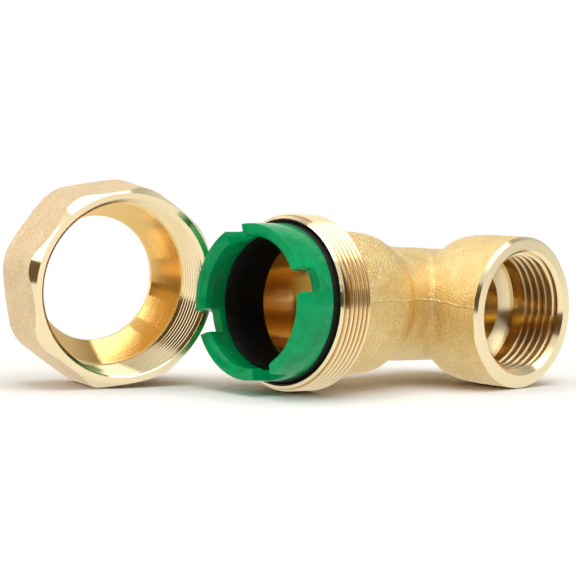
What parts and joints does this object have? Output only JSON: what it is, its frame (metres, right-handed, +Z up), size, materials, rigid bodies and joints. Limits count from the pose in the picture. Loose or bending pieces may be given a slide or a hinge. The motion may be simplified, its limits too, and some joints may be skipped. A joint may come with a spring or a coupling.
{
  "type": "pe pipe elbow",
  "caption": "Brass compression elbow for polyethylene pipe with a female pipe thread outlet, its octagonal clamp nut off, and a notched plastic clamp ring on a rubber seal in the mouth.",
  "frame": {"origin": "on the floor, under the middle of the whole set as it lies", "axes": "+X along the row of the two pieces, from the nut to the outlet socket; +Y to the back; +Z up"},
  "size_m": [0.1484, 0.08, 0.0529],
  "materials": {
    "brass": "cast and bead-blasted outside, bright turned on threads, faces and bores",
    "green_plastic": "glossy moulded",
    "black_rubber": "matte"
  },
  "bodies": {
    "root": {"elbow_body": "brass", "clamp_nut": "brass", "clamp_ring": "green_plastic", "pipe_seal": "black_rubber"}
  },
  "joints": []
}
